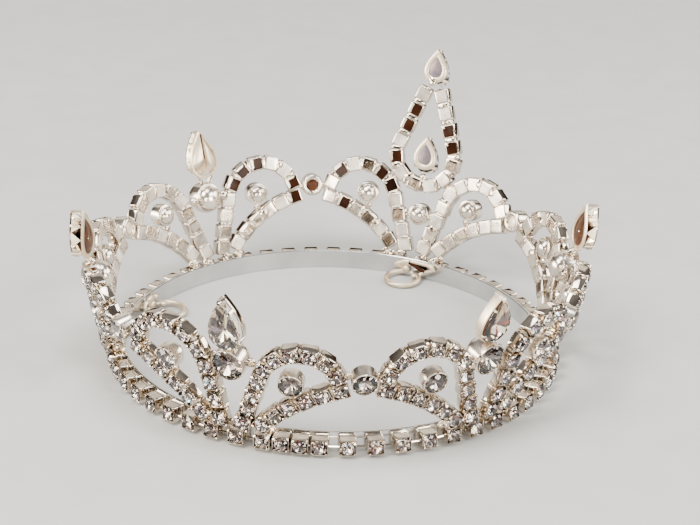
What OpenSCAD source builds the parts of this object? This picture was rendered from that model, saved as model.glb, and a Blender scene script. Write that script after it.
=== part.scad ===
// Full-round crystal crown: a flat band with a cup chain round it, six scrolled
// sectors of cup chain, and a tall pointed loop over the front. The front faces -Y,
// +Z is up, and the origin is the middle of the plane that the band stands on.
// Sizes are millimetres. Angles run round the crown from the front, towards +X.

/* [Band] */
// Outer radius of the flat band
band_r = 65.5; // [65:0.5:67]
// Height of the band
band_h = 6.4; // [5:0.2:9]
// Thickness of the band's strip
band_t = 0.8; // [0.6:0.1:1.2]

/* [Wall] */
// Lean of the scrolled wall away from upright
flare = 12.4; // [10:0.2:18]
// How far the backs of the scroll cups stand out from the band, at its top edge
wall_gap = 1.8; // [1.2:0.1:2.4]

/* [Cup chains] */
// Width and height of one square cup
cup_w = 4.9; // [4.4:0.1:5]
// Depth of a scroll cup, from its back to its rim
cup_d = 3.5; // [3.2:0.1:4.2]
// Depth of a cup of the base chain
base_cup_d = 4.6; // [3:0.1:5]
// How far the base cups' tops lie under the band's top edge
base_drop = 0.7; // [0.3:0.1:0.9]
// Diameter of the small stones
chip_d = 4.4; // [3.8:0.1:4.4]

/* [Base chain] */
// Angle from one base cup to the next
base_pitch = 6.535; // [6.5:0.005:6.54]
// Angle from cup to cup in the short run where the chain's two ends meet
seam_pitch = 4.54; // [4.5:0.01:4.6]
// Where that short run starts
seam_at = -172.8; // [-180:0.1:-160]

/* [Scroll loops] */
// Cups in one upper arch
arch_n = 10; // [9:1:10]
// Radius of the arch's round top
arch_r = 12.2; // [11.9:0.1:12.4]
// Cups in one lower chain
lower_n = 6; // [5:1:6]
// How much a lower chain turns from end to end
lower_turn = 34; // [20:1:44]

/* [Peak] */
// Radius of the loop's round bottom
peak_r = 10.4; // [10.2:0.1:10.6]
// Height up the wall at which the loop's straight sides would meet
peak_apex = 65; // [62:0.5:68]

/* [Set stones] */
// Outer diameter of a small round setting
round_d = 7.4; // [7:0.1:7.8]
// Outer diameter of a large round setting
large_d = 10; // [9:0.1:10.4]
// Width of a finial's pear setting
pear_w = 10.2; // [9:0.1:11]
// Height of a finial's pear setting
pear_h = 16.2; // [14:0.1:18]
// Width of a pear setting on the peak
drop_w = 9; // [8:0.1:9.6]
// Height of a pear setting on the peak
drop_h = 13.8; // [13:0.1:14.4]

/* [Hair loops] */
// Wire diameter
wire_d = 1.5; // [1.2:0.1:1.8]
// Outer diameter of a loop's eye
eye_d = 12.6; // [11:0.1:14]
// Height of the eye's wire over the plane that the band stands on
eye_up = 1.4; // [1:0.1:3]

/* [Hidden] */
$fn = 48;
sectors = 6;
sector_angle = 360 / sectors;
wall_r = band_r + wall_gap;
wall_mid = wall_r + cup_d / 2;
solder = 0.3;
clear = 0.12;
small = 0.01;

// Places on the wall are [u, w]: u runs round the wall from the sector's middle
// line or from a V's line, and w runs up the slope from the band's top edge
arch_c = [18.2, 18.2];
arch_foot = [33, 3.3];
arch_end_up = 23;
lower_foot = [27.2, 3.9];
lower_end = [6.2, 18];
connector_at = [0, 21.8];
bud_at = [19.6, 19.8];
large_at = [0, 21.2];
finial_at = [0, 28.2];
peak_c = [0, 35];
front_round_at = [0, 14.4];
inner_drop_at = [0, 27.6];
top_drop_at = [0, 57.6];

// How each arch was bent by hand, two to a sector, from the front round: how far its
// round top stands towards the connector, how far down, how much smaller it is, and
// how far it bows into the crown
arch_in = [0.8, 0, 1.6, 0, 0, -0.5, 0.8, 0.4, 0, 0, 0, 1.3];
arch_down = [0.4, 0, 1.6, 1.8, 1, 0.3, 0.9, -0.4, 0, 1.8, 2, 1.5];
arch_less = [0.4, 0, 0, 0, 0, 0, 0.8, 0.4, 0, 0, 0, -0.3];
arch_bow = [0, 0, 0, 0, 0, 2, 1.4, 0.3, 0, 0, 0, 0];

// How each finial was set by hand, a value for each V from the front round. Its round:
// how far inside the wall. Its pear: how far inside and up, how far its tip leans out
// and to the side, and how far it is turned about its length
round_in = [0, 0, 1.4, 4, 3.6, 1.8];
pear_in = [0, 0.4, -0.8, 3, 3.2, -1.4];
pear_up = [0, 0.2, -0.8, -2.4, -1.4, -0.8];
pear_lean = [0, 0, -6, -4, 2, -4];
pear_tilt = [0, 4.5, 8, -3, -2, -8];
pear_turn = [0, 0, -20, 0, 0, 8];

// Depths of the settings, from the back of the wall out to their rims
connector_deep = 5;
bud_deep = 4.4;
large_deep = 5.4;
front_round_deep = 4.6;
finial_deep = 4.4;
drop_deep = 4.2;

// Walls of the round and the pear settings, and how much shorter a pear's opening is
round_wall = 0.5;
pear_wall = 0.8;
pear_lip = 2.2;

// An arch has a straight leg that runs on into its round top
function arch_mid(i) = arch_c - [arch_in[i], arch_down[i]];
function arch_bend(i) = arch_r - arch_less[i];
function arch_leg(i) = let(v = arch_foot - arch_mid(i)) sqrt(v * v - arch_bend(i) * arch_bend(i));
function arch_from(i) = let(v = arch_foot - arch_mid(i)) atan2(v[1], v[0]) + acos(arch_bend(i) / norm(v));
function arch_to(i) = 180 - asin((arch_end_up - arch_mid(i)[1]) / arch_bend(i));
function arch_len(i) = arch_leg(i) + (arch_to(i) - arch_from(i)) * PI / 180 * arch_bend(i);
function arch_pitch(i) = arch_len(i) / (arch_n - 1);
function bow_at(i, s) = arch_bow[i] * sqrt(max(sin(180 * s / arch_len(i)), 0));

// Lower chain: one arc from its foot to the connector
lower_v = lower_end - lower_foot;
lower_r = norm(lower_v) / 2 / sin(lower_turn / 2);
lower_a = atan2(lower_v[1], lower_v[0]) - lower_turn / 2;
lower_pitch = lower_r * lower_turn * PI / 180 / (lower_n - 1);

// Peak loop: a round bottom with two straight sides that would meet at the apex
peak_n = 14;
peak_pitch = 5.9;
apex_a = asin(peak_r / (peak_apex - peak_c[1]));
peak_turn = 90 + apex_a;
peak_arc = peak_r * peak_turn * PI / 180;

// Base chain: regular cups all round, and two more in the short run
seam_span = 3 * seam_pitch;
regular_n = 1 + round((360 - seam_span) / base_pitch);
base_n = regular_n + 2;
function base_angle(k) = k < regular_n
    ? seam_at + seam_span + k * (360 - seam_span) / (regular_n - 1)
    : seam_at + (k - regular_n + 1) * seam_pitch;

// A place on a path is [u, w, heading], with the heading turned from +u towards +w
function arch_place(i, s) = s <= arch_leg(i)
    ? let(a = arch_from(i) + 90)
        [arch_foot[0] + s * cos(a), arch_foot[1] + s * sin(a), a]
    : let(a = arch_from(i) + (s - arch_leg(i)) / arch_bend(i) * 180 / PI)
        [arch_mid(i)[0] + arch_bend(i) * cos(a), arch_mid(i)[1] + arch_bend(i) * sin(a), a + 90];
function lower_place(s) = let(a = lower_a + s / lower_r * 180 / PI)
    [lower_foot[0] + lower_r * (sin(a) - sin(lower_a)),
     lower_foot[1] - lower_r * (cos(a) - cos(lower_a)), a];
function peak_place(s) = s <= peak_arc
    ? let(a = s / peak_r * 180 / PI)
        [peak_r * sin(a), peak_c[1] - peak_r * cos(a), a]
    : let(t = s - peak_arc)
        [peak_r * sin(peak_turn) + t * cos(peak_turn),
         peak_c[1] - peak_r * cos(peak_turn) + t * sin(peak_turn), peak_turn];
function flip(place, side) = [side * place[0], place[1], side > 0 ? place[2] : 180 - place[2]];

// Angle round the crown of a place, given the angle of the line it is measured from
function round_angle(line, place) =
    line + place[0] / (wall_mid + place[1] * sin(flare)) * 180 / PI;
function sector_line(k) = sector_angle * (k + 0.5);
function arch_number(k, side) = 2 * k + (side > 0 ? 1 : 0);
function v_line(k) = sector_angle * k;

// Carries children from the origin to a place on the wall: -Y is outwards there
module on_wall(line, place, turn = 0) {
    rotate([0, 0, round_angle(line, place)])
        translate([0, -(wall_r + place[1] * sin(flare)), band_h + place[1] * cos(flare)])
            rotate([flare, 0, 0])
                rotate([0, turn, 0])
                    children();
}

// Carries children to a place along an arch
module on_arch(sector, side, s) {
    i = arch_number(sector, side);
    p = flip(arch_place(i, s), side);
    on_wall(sector_line(sector), p, 90 - p[2])
        translate([0, bow_at(i, s), 0])
            children();
}

// Box with its back at y = 0, centred across and along
module slab(across, deep, along) {
    translate([-across / 2, -deep, -along / 2])
        cube([across, deep, along]);
}

module cup() {
    slab(cup_w, cup_d, cup_w);
}

// Bridge of solder between two neighbouring cups
module bridge(gap) {
    translate([0, -solder, 0])
        slab(cup_w - 1.4, cup_d - 1.4, gap + 1.6);
}

// Cut stone: rings of points from its table to its back, each [radius, height], as
// parts of its diameter. Every ring is turned half a step against the one before it,
// which makes the facets between them
chip_rings = [[0.3, 0.24], [0.44, 0.13], [0.5, 0]];
stone_rings = [[0.28, 0.2], [0.43, 0.12], [0.5, 0], [0.16, -0.3]];
module cut_stone(d, rings, n = 8) {
    last = len(rings) - 1;
    points = [for (j = [0 : last], k = [0 : n - 1])
        let(a = (k + j / 2) * 360 / n)
        [d * rings[j][0] * cos(a), d * rings[j][0] * sin(a), d * rings[j][1]]];
    facets = [for (j = [0 : last - 1], k = [0 : n - 1])
        let(a = j * n + k, b = j * n + (k + 1) % n,
            c = (j + 1) * n + k, e = (j + 1) * n + (k + n - 1) % n)
        each [[a, b, c], [a, c, e]]];
    table = [[for (k = [n - 1 : -1 : 0]) k]];
    back = [[for (k = [0 : n - 1]) last * n + k]];
    polyhedron(points, concat(table, facets, back), convexity = 2);
}

// Small stone of a chain, seated just clear of its cup's rim
module chip(deep) {
    translate([0, -deep - clear, 0])
        rotate([90, 0, 0])
            cut_stone(chip_d, chip_rings);
}

// Pear outline, its tip up and its foot at the origin. The factor makes its widest
// place, a third of the way up, as wide as asked
function pear_outline(w, h, n = 12) = [for (k = [0 : 2 * n - 1])
    let(a = 180 * k / n, widest = sqrt(16 / 27))
    [w / 2 / widest * sin(a) * abs(sin(a / 2)), h * (1 + cos(a)) / 2]];

// Round setting: a rim, a tapered back and an open seat for the stone
module round_setting(d, back, front) {
    rim_from = 0.6;
    floor_at = 1;
    rotate([90, 0, 0])
        difference() {
            union() {
                translate([0, 0, rim_from])
                    cylinder(h = front - rim_from, d = d);
                translate([0, 0, -back])
                    cylinder(h = back + rim_from + small, d1 = d * 0.5, d2 = d);
            }
            translate([0, 0, floor_at])
                cylinder(h = front, d = d - 2 * round_wall);
        }
}

// Solder from both sides of a round setting to what stands beside it
module lugs(d, reach) {
    for (side = [-1, 1])
        translate([side * (d + reach) / 2, 0.6, 0])
            slab(reach + 0.8, 3, 2.2);
}

module round_stone(d, front) {
    translate([0, -front + 0.4, 0])
        rotate([90, 0, 0])
            cut_stone(d - 2 * (round_wall + clear), stone_rings);
}

// Pear setting: a wall round an open back
module pear_setting(w, h, deep) {
    rotate([90, 0, 0])
        linear_extrude(deep)
            difference() {
                polygon(pear_outline(w, h));
                translate([0, pear_wall])
                    polygon(pear_outline(w - 2 * pear_wall, h - pear_lip));
            }
}

// Pear stone: table, crown, girdle and a flat foiled back
module pear_stone(w, h, deep) {
    girdle_h = h - pear_lip - 4 * clear;
    outline = pear_outline(w - 2 * pear_wall - 3 * clear, girdle_h, 8);
    n = len(outline);
    mid = [0, girdle_h * 0.4];
    foot = pear_wall + 1.5 * clear;
    row = function(k, y) [for (p = outline) let(q = mid + (p - mid) * k) [q[0], -y, q[1] + foot]];
    table = row(0.55, deep + 1.3);
    crown = row(0.85, deep + 0.7);
    girdle = [row(1, deep - 0.2), row(1, deep - 0.7)];
    rows = concat([table, crown], girdle, [row(0.6, 1)]);
    last = len(rows) - 1;
    polyhedron(
        points = [for (r = rows) each r],
        faces = concat([[for (k = [0 : n - 1]) k]],
            [for (j = [0 : last - 1], k = [0 : n - 1])
                let(a = j * n + k, b = j * n + (k + 1) % n)
                each [[a, a + n, b], [b, a + n, b + n]]],
            [[for (k = [n - 1 : -1 : 0]) last * n + k]]),
        convexity = 2);
}

module band() {
    difference() {
        cylinder(h = band_h, r = band_r, $fn = 180);
        translate([0, 0, -1])
            cylinder(h = band_h + 2, r = band_r - band_t, $fn = 180);
    }
}

// Cups of the base chain, each soldered to the band's outer face, and their links
base_mid = band_h - base_drop - cup_w / 2;
module on_band(angle) {
    rotate([0, 0, angle])
        translate([0, -band_r + 0.4, base_mid])
            children();
}
module base_cups() {
    link_r = band_r + base_cup_d * 0.6;
    for (k = [0 : base_n - 1])
        on_band(base_angle(k))
            slab(cup_w, base_cup_d, cup_w);
    translate([0, 0, base_mid - 0.3])
        difference() {
            cylinder(h = 0.6, r = link_r + 0.3, $fn = 180);
            translate([0, 0, -1])
                cylinder(h = 3, r = link_r - 0.3, $fn = 180);
        }
}

// Chain of cups along one path, with solder bridges between them
module arch_cups(sector, side) {
    pitch = arch_pitch(arch_number(sector, side));
    for (k = [0 : arch_n - 1])
        on_arch(sector, side, k * pitch)
            cup();
    for (k = [0 : arch_n - 2])
        on_arch(sector, side, (k + 0.5) * pitch)
            bridge(max(pitch - cup_w, 0));
}

module lower_cups(line, side) {
    for (k = [0 : lower_n - 1]) {
        p = flip(lower_place(k * lower_pitch), side);
        on_wall(line, p, 90 - p[2])
            cup();
    }
    for (k = [0 : lower_n - 2]) {
        p = flip(lower_place((k + 0.5) * lower_pitch), side);
        on_wall(line, p, 90 - p[2])
            bridge(lower_pitch - cup_w);
    }
}

// Solder under the foot of a chain, over the band's top edge
module foot_solder(line, place) {
    rotate([0, 0, round_angle(line, place)])
        translate([-2, -band_r - cup_d - 0.6, band_h - base_drop - 0.1])
            cube([4, cup_d + 0.6 + band_t, 2.4]);
}

// Settings of one sector: the connector in the middle and a bud on each lower chain
module sector_settings(line) {
    on_wall(line, connector_at) {
        round_setting(round_d, 0.4, connector_deep);
        lugs(round_d, 2.2);
    }
    for (side = [-1, 1])
        on_wall(line, flip([bud_at[0], bud_at[1], 0], side)) {
            round_setting(round_d, 0.6, bud_deep);
            translate([0, -0.4, -4.4])
                slab(2, 2.2, 5);
        }
}

module sector_frame(k) {
    line = sector_line(k);
    for (side = [-1, 1]) {
        arch_cups(k, side);
        lower_cups(line, side);
        foot_solder(line, flip([arch_foot[0], arch_foot[1], 0], side));
        foot_solder(line, flip([lower_foot[0], lower_foot[1], 0], side));
    }
    sector_settings(line);
}

// Carries children to the foot of a finial's pear
module on_finial(k) {
    on_wall(v_line(k), finial_at + [0, pear_up[k]])
        translate([0, pear_in[k], 0])
            rotate([pear_lean[k], 0, 0])
                rotate([0, pear_tilt[k], 0])
                    rotate([0, 0, pear_turn[k]])
                        children();
}

// Large round and upright pear that finish a V, with a neck of solder between them
module finial_frame(k) {
    on_wall(v_line(k), large_at) {
        translate([0, round_in[k], 0])
            round_setting(large_d, 2.2, large_deep);
        translate([0, round_in[k] / 2, 0])
            lugs(large_d, 2.4);
    }
    hull() {
        on_wall(v_line(k), large_at)
            translate([0, round_in[k] - 0.8, large_d / 2 - 0.6])
                slab(2.6, 2.4, 0.8);
        on_finial(k)
            translate([0, -0.8, 0.4])
                slab(2.4, 2.6, 0.8);
    }
    on_finial(k)
        pear_setting(pear_w, pear_h, finial_deep);
}

module peak_frame() {
    for (side = [-1, 1], k = [0 : peak_n / 2 - 1]) {
        p = flip(peak_place((k + 0.5) * peak_pitch), side);
        on_wall(0, p, 90 - p[2])
            cup();
        q = flip(peak_place(k * peak_pitch), side);
        on_wall(0, q, 90 - q[2])
            bridge(peak_pitch - cup_w);
    }
    on_wall(0, [0, top_drop_at[1] - 0.6])
        slab(6.4, 2.6, 2.6);
    on_wall(0, front_round_at) {
        round_setting(round_d, 0.6, front_round_deep);
        lugs(round_d, 1.6);
    }
    on_wall(0, inner_drop_at) {
        pear_setting(drop_w, drop_h, drop_deep);
        translate([0, 0, -0.4])
            slab(2.6, 2.4, 1.8);
    }
    on_wall(0, top_drop_at)
        pear_setting(drop_w, drop_h, drop_deep);
    for (side = [-1, 1])
        on_wall(0, [side * 10.2, 25.6], side * 40)
            slab(3.2, 2.4, 5);
}

// Wire loop inside the band, for a hairpin: a low eye, the wire's ends soldered along
// the band over it, and the solder between them
module hair_loop(angle) {
    eye_r = (eye_d - wire_d) / 2;
    ends_up = band_h - 1.6;
    rotate([0, 0, angle])
        translate([0, -band_r + band_t, 0]) {
            translate([0, eye_r + wire_d / 2 - 0.3, eye_up])
                rotate_extrude()
                    translate([eye_r, 0])
                        circle(d = wire_d, $fn = 24);
            translate([-7, wire_d / 2 - 0.2, ends_up])
                rotate([0, 90, 0])
                    cylinder(h = 14, d = wire_d, $fn = 24);
            translate([-1.6, -0.2, eye_up])
                cube([3.2, wire_d, ends_up - eye_up]);
        }
}

module crown_frame() {
    color("silver") {
        band();
        base_cups();
        for (k = [0 : sectors - 1])
            sector_frame(k);
        for (k = [1 : sectors - 1])
            finial_frame(k);
        peak_frame();
        hair_loop(0);
        hair_loop(90);
    }
}

module base_stones() {
    color("white")
        for (k = [0 : base_n - 1])
            on_band(base_angle(k))
                chip(base_cup_d);
}

module arch_stones(sector) {
    color("white")
        for (side = [-1, 1], k = [0 : arch_n - 1])
            on_arch(sector, side, k * arch_pitch(arch_number(sector, side)))
                chip(cup_d);
}

module peak_stones() {
    color("white")
        for (side = [-1, 1], k = [0 : peak_n / 2 - 1]) {
            p = flip(peak_place((k + 0.5) * peak_pitch), side);
            on_wall(0, p, 90 - p[2])
                chip(cup_d);
        }
}

module connector_stone(sector) {
    color("white")
        on_wall(sector_line(sector), connector_at)
            round_stone(round_d, connector_deep);
}

module bud_stone(sector, side) {
    color("white")
        on_wall(sector_line(sector), flip([bud_at[0], bud_at[1], 0], side))
            round_stone(round_d, bud_deep);
}

module large_stone(v) {
    color("white")
        on_wall(v_line(v), large_at)
            translate([0, round_in[v], 0])
                round_stone(large_d, large_deep);
}

module finial_stone(v) {
    color("white")
        on_finial(v)
            pear_stone(pear_w, pear_h, finial_deep);
}

module front_round_stone() {
    color("white")
        on_wall(0, front_round_at)
            round_stone(round_d, front_round_deep);
}

module inner_drop_stone() {
    color("white")
        on_wall(0, inner_drop_at)
            pear_stone(drop_w, drop_h, drop_deep);
}

module top_drop_stone() {
    color("white")
        on_wall(0, top_drop_at)
            pear_stone(drop_w, drop_h, drop_deep);
}

crown_frame();
base_stones();
peak_stones();
front_round_stone();
inner_drop_stone();
top_drop_stone();
for (k = [1 : sectors]) {
    arch_stones(k - 1);
    connector_stone(k - 1);
    bud_stone(k - 1, -1);
    bud_stone(k - 1, 1);
}
for (k = [1 : sectors - 1]) {
    large_stone(k);
    finial_stone(k);
}
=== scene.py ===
"""Looks of a full-round crystal crown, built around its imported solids.

The crown's front peak faces -Y and +Z is up. A shape is made in millimetres in a small
frame of its own, with x across, -y outwards and z along, and is then set in its place.
The meshes of the pieces are in metres.
"""
import random
from math import acos, asin, atan2, cos, degrees, pi, radians, sin, sqrt

import bmesh
import bpy
import numpy as np
from mathutils import Matrix


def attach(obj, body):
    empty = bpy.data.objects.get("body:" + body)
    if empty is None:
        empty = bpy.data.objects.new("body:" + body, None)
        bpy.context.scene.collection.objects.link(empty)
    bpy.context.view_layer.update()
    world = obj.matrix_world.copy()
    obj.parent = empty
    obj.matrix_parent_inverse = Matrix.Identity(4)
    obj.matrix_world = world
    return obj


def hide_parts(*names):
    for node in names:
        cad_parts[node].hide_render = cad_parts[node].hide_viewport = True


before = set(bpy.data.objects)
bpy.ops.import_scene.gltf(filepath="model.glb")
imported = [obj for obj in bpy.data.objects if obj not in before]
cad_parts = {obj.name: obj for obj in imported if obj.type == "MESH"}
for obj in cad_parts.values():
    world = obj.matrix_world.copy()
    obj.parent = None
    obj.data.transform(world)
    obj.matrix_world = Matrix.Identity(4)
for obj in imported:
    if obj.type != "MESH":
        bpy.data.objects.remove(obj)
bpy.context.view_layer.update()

MM = 0.001
BODY = "root"

# Band
BAND_R = 65.5
BAND_H = 6.4
BAND_T = 0.8
BAND_EDGE = 0.18
BAND_STEPS = 360

# Wall of scrolls over the band, and its cups
FLARE = 12.4
WALL_GAP = 1.8
CUP_W = 4.9
CUP_D = 3.5
CUP_CORNER = 0.55
CUP_TILT = 4.5
PRONG_IN = 0.62
WALL_R = BAND_R + WALL_GAP
WALL_MID = WALL_R + CUP_D / 2

# Base chain
BASE_CUP_D = 4.6
BASE_DROP = 0.7
BASE_SUNK = 0.4
BASE_PITCH = 6.535
SEAM_PITCH = 4.54
SEAM_AT = -172.8
SEAM_SPAN = 3 * SEAM_PITCH
REGULAR_N = 1 + round((360 - SEAM_SPAN) / BASE_PITCH)
BASE_N = REGULAR_N + 2
BASE_MID = BAND_H - BASE_DROP - CUP_W / 2
LINK_R = BAND_R + BASE_CUP_D * 0.6
LINK_WIRE = 0.64

# Scroll loops: places are [u, w], round the wall and up its slope
SECTORS = 6
SECTOR_ANGLE = 360 / SECTORS
ARCH_N = 10
ARCH_R = 12.2
ARCH_C = (18.2, 18.2)
ARCH_FOOT = (33.0, 3.3)
ARCH_END_UP = 23.0
LOWER_N = 6
LOWER_TURN = 34
LOWER_FOOT = (27.2, 3.9)
LOWER_END = (6.2, 18.0)
CONNECTOR_AT = (0, 21.8)
BUD_AT = (19.6, 19.8)

# How each arch was bent by hand, two to a sector: its round top's place towards the
# connector and down, how much smaller it is, and how far it bows into the crown
ARCH_IN = (0.8, 0, 1.6, 0, 0, -0.5, 0.8, 0.4, 0, 0, 0, 1.3)
ARCH_DOWN = (0.4, 0, 1.6, 1.8, 1, 0.3, 0.9, -0.4, 0, 1.8, 2, 1.5)
ARCH_LESS = (0.4, 0, 0, 0, 0, 0, 0.8, 0.4, 0, 0, 0, -0.3)
ARCH_BOW = (0, 0, 0, 0, 0, 2, 1.4, 0.3, 0, 0, 0, 0)

# Finials
LARGE_AT = (0, 21.2)
FINIAL_AT = (0, 28.2)

# How each finial was set by hand, from the front round: its round's place inwards, and
# its pear's place inwards and up, its lean, its tilt and its turn
ROUND_IN = (0, 0, 1.4, 4, 3.6, 1.8)
PEAR_IN = (0, 0.4, -0.8, 3, 3.2, -1.4)
PEAR_UP = (0, 0.2, -0.8, -2.4, -1.4, -0.8)
PEAR_LEAN = (0, 0, -6, -4, 2, -4)
PEAR_TILT = (0, 4.5, 8, -3, -2, -8)
PEAR_TURN = (0, 0, -20, 0, 0, 8)

# Peak
PEAK_N = 14
PEAK_R = 10.4
PEAK_C = (0, 35)
PEAK_APEX = 65
PEAK_PITCH = 5.9
FRONT_ROUND_AT = (0, 14.4)
INNER_DROP_AT = (0, 27.6)
TOP_DROP_AT = (0, 57.6)

# Set stones
CHIP_D = 4.4
ROUND_D = 7.4
LARGE_D = 10.0
PEAR_W, PEAR_H = 10.2, 16.2
DROP_W, DROP_H = 9.0, 13.8
STONE_GAP = 0.1

# Crown and pavilion of the round stones, as parts of their diameter
CHIP_CUT = (0.22, 0.40)
ROUND_CUT = (0.16, 0.27)

# Crown, girdle, foiled back and coated back of the pear stones
PEAR_CROWN = 1.38
PEAR_GIRDLE = 0.5
FOIL_DEPTH, FOIL_BELLY = 2.0, (0.60, 0.62)
COAT_DEPTH, COAT_BELLY = 4.0, (0.80, 0.72)

# Settings: depth from the back to the claws, and height and radius of a domed back
CONNECTOR_DEEP = 5
BUD_DEEP = 4.4
FRONT_ROUND_DEEP = 4.6
LARGE_DEEP = 5.4
PEAR_DEEP = 4.4
DROP_DEEP = 4.2
BUD_DOME = (1.7, 2.9)
LARGE_DOME = (2.9, 4.3)

# How much smaller a stone is than its setting, how far inside the edge its claws stand,
# how far its girdle lies behind them, and how far a pear stone's foot is over its setting's
ROUND_RIM = 1.1
PEAR_RIM = (1.0, 1.3)
CLAW_IN = 0.26
GIRDLE_IN = 0.2
PEAR_FOOT = 0.6

# Materials of a stone, in the order of its mesh
CRYSTAL, FOIL, LACQUER_AND_SHADE, PLATE, PLATED = range(5)

# Backs of the pear settings: the strip's depth and thickness, how far it stands off the
# back, and the coat on the back of the stone
PEAR_BACKS = {"open": (1.9, 0.6, 0, LACQUER_AND_SHADE), "wall": (2.9, 0.5, 1.0, PLATED),
              "wide": (0.8, 1.35, 0, FOIL), "fold": (1.3, 0.7, 0, PLATED),
              "plate": (1.7, 1.5, 0, None)}
FINIAL_BACKS = (None, "fold", "wide", "open", "wall", "wide")
PLATE_W, PLATE_H = 0.88, 0.82

# Points of a pear's outline that have a claw, from its tip round
PEAR_CLAWS = (0, 5, 11, 21, 27)

# Hair loops: the wire of the solid, the width and the wire of the eye, and its height
WIRE_D = 1.5
EYE_D = 12.6
EYE_WIRE = 1.75
EYE_UP = 1.4

# Tones of the metal's faces paint reflections on it, from 0, a painted dark-brown reflection, over
# 0.2, painted blue-grey, 0.3, grey, and 0.5, polished, to 1, a painted matt-white highlight
PAINTED_DARK = 0.15
POLISH = 0.5
# A cup's rounded back edge is painted lighter, a painted highlight, and its sides a little darker,
# painted shade
LIT_EDGE_TONE = 0.66
SHADED_SIDE_TONE = 0.46
ROUND_TONE = 0.76
COAT_TONE = 0.7

# A painted highlight on a dark cup's back: the side its faces are painted bright towards, and how far
# towards it that starts
PAINTED_GLINT_WAY = np.array([0.86, 0.39, 0.33])
PAINTED_GLINT_FROM = 1.1
PAINTED_GLINT_TONE = 0.95

# Painted reflections and highlights on the backs of the far cups, as tones by their sector, from the
# foot up along each side
ARCH_PAINTED_TONES = {1: (1.0, 1.0, 0.42, 0.9, 0.02, 0.06, 0.40, 1.0, 0.12, 0.8,
                  0.6, 0.36, 0.7, 1.0, 0.12, 0.08, 0.13, 0.85, 0.95, 0.12),
              2: (0.9, 0.7, 0.5, 0.6, 0.95, 0.8, 1.0, 0.9, 0.7, 0.95,
                  0.7, 0.95, 0.8, 0.6, 0.9, 1.0, 0.85, 0.75, 0.6, 0.9),
              6: (0.9, 0.5, 0.8, 0.4, 0.9, 0.7, 0.5, 0.9, 0.6, 0.8,
                  1.0, 0.85, 1.0, 0.8, 1.0, 0.95, 0.9, 0.85, 1.0, 0.8)}
LOWER_PAINTED_TONES = {1: (0.36, 0.95, 0.3, 0.7, 0.08, 0.75, 1.0, 0.5, 0.4, 0.7, 0.9, 0.12),
               2: (0.95, 0.6, 0.8, 1.0, 0.7, 0.85, 0.75, 0.9, 0.6, 0.95, 1.0, 0.8),
               6: (0.9, 0.4, 0.8, 0.5, 0.9, 0.7, 0.85, 0.7, 0.5, 0.8, 0.9, 0.8)}
PEAK_PAINTED_TONES = (1.0, 0.85, 0.4, 0.08, 0.10, 1.0, 0.9,
              0.5, 0.95, 0.13, 1.0, 0.12, 0.10, 0.90)

# Chance: the tones of cups and the solder draw in turn from one source, and the tilts of a
# chain's cups, the stones of a chain and each set stone have seeds of their own
rng = np.random.default_rng(7)
TILT_SEEDS = {"arch": 10, "lower": 20, "peak": 30}
CHAIN_SEEDS = {"base": 11, "peak": 31, "arch": 100, "lower": 200}
STONE_SEEDS = {"connector": 300, "bud": 320, "large": 400, "finial": 420, "front_round": 440,
               "inner_drop": 441, "top_drop": 442}
SEED_STEP = 64

# Shares of the foil's facets that flash a painted colour and of the joints that have a lump of solder
FLASH_SHARE = 0.035
FLASH_FROM = 0.94
LUMP_SHARE = 0.24

# Angle between two smooth faces that leaves an edge sharp
SHARP = 38


# Places, as 4 by 4 matrices

def shift(x=0.0, y=0.0, z=0.0):
    m = np.eye(4)
    m[:3, 3] = (x, y, z)
    return m


def turn(axis, angle):
    c, s = cos(radians(angle)), sin(radians(angle))
    m = np.eye(4)
    i, j = {"x": (1, 2), "y": (2, 0), "z": (0, 1)}[axis]
    m[i, i] = m[j, j] = c
    m[i, j], m[j, i] = -s, s
    return m


def round_angle(line, place):
    """Angle round the crown of a place on the wall beside a line."""
    reach = WALL_MID + place[1] * sin(radians(FLARE))
    return line + degrees(place[0] / reach)


def on_wall(line, place, spin=0.0, inwards=0.0):
    """A place on the flared wall, spun in it and set inwards."""
    lean = radians(FLARE)
    stand = shift(0, -(WALL_R + place[1] * sin(lean)), BAND_H + place[1] * cos(lean))
    return (turn("z", round_angle(line, place)) @ stand @ turn("x", FLARE)
            @ turn("y", spin) @ shift(0, inwards, 0))


def on_band(angle):
    return turn("z", angle) @ shift(0, -BAND_R + BASE_SUNK, BASE_MID)


def base_angle(k):
    """Angle of a cup of the base chain: even steps, and closer ones at its seam."""
    if k < REGULAR_N:
        return SEAM_AT + SEAM_SPAN + k * (360 - SEAM_SPAN) / (REGULAR_N - 1)
    return SEAM_AT + (k - REGULAR_N + 1) * SEAM_PITCH


def sector_line(k):
    """Angle of a sector's middle."""
    return SECTOR_ANGLE * (k + 0.5)


def v_line(k):
    """Angle of a V between two sectors; the front one is 0."""
    return SECTOR_ANGLE * k


def on_finial(k):
    return (on_wall(v_line(k), (FINIAL_AT[0], FINIAL_AT[1] + PEAR_UP[k]), 0, PEAR_IN[k])
            @ turn("x", PEAR_LEAN[k]) @ turn("y", PEAR_TILT[k]) @ turn("z", PEAR_TURN[k]))


# Paths of the chains: each gives [u, w, heading, bow] at a length along it

def arch_path(number):
    """An arch: a straight leg that runs on into its round top."""
    mid = np.subtract(ARCH_C, (ARCH_IN[number], ARCH_DOWN[number]))
    bend = ARCH_R - ARCH_LESS[number]
    foot = np.subtract(ARCH_FOOT, mid)
    leg = sqrt(foot @ foot - bend ** 2)
    start = atan2(foot[1], foot[0]) + acos(bend / np.hypot(*foot))
    end = pi - asin((ARCH_END_UP - mid[1]) / bend)
    whole = leg + (end - start) * bend

    def place(s):
        bow = ARCH_BOW[number] * sqrt(max(sin(pi * s / whole), 0))
        if s <= leg:
            a = start + pi / 2
            return ARCH_FOOT[0] + s * cos(a), ARCH_FOOT[1] + s * sin(a), degrees(a), bow
        a = start + (s - leg) / bend
        return mid[0] + bend * cos(a), mid[1] + bend * sin(a), degrees(a) + 90, bow
    return place, whole / (ARCH_N - 1)


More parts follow.
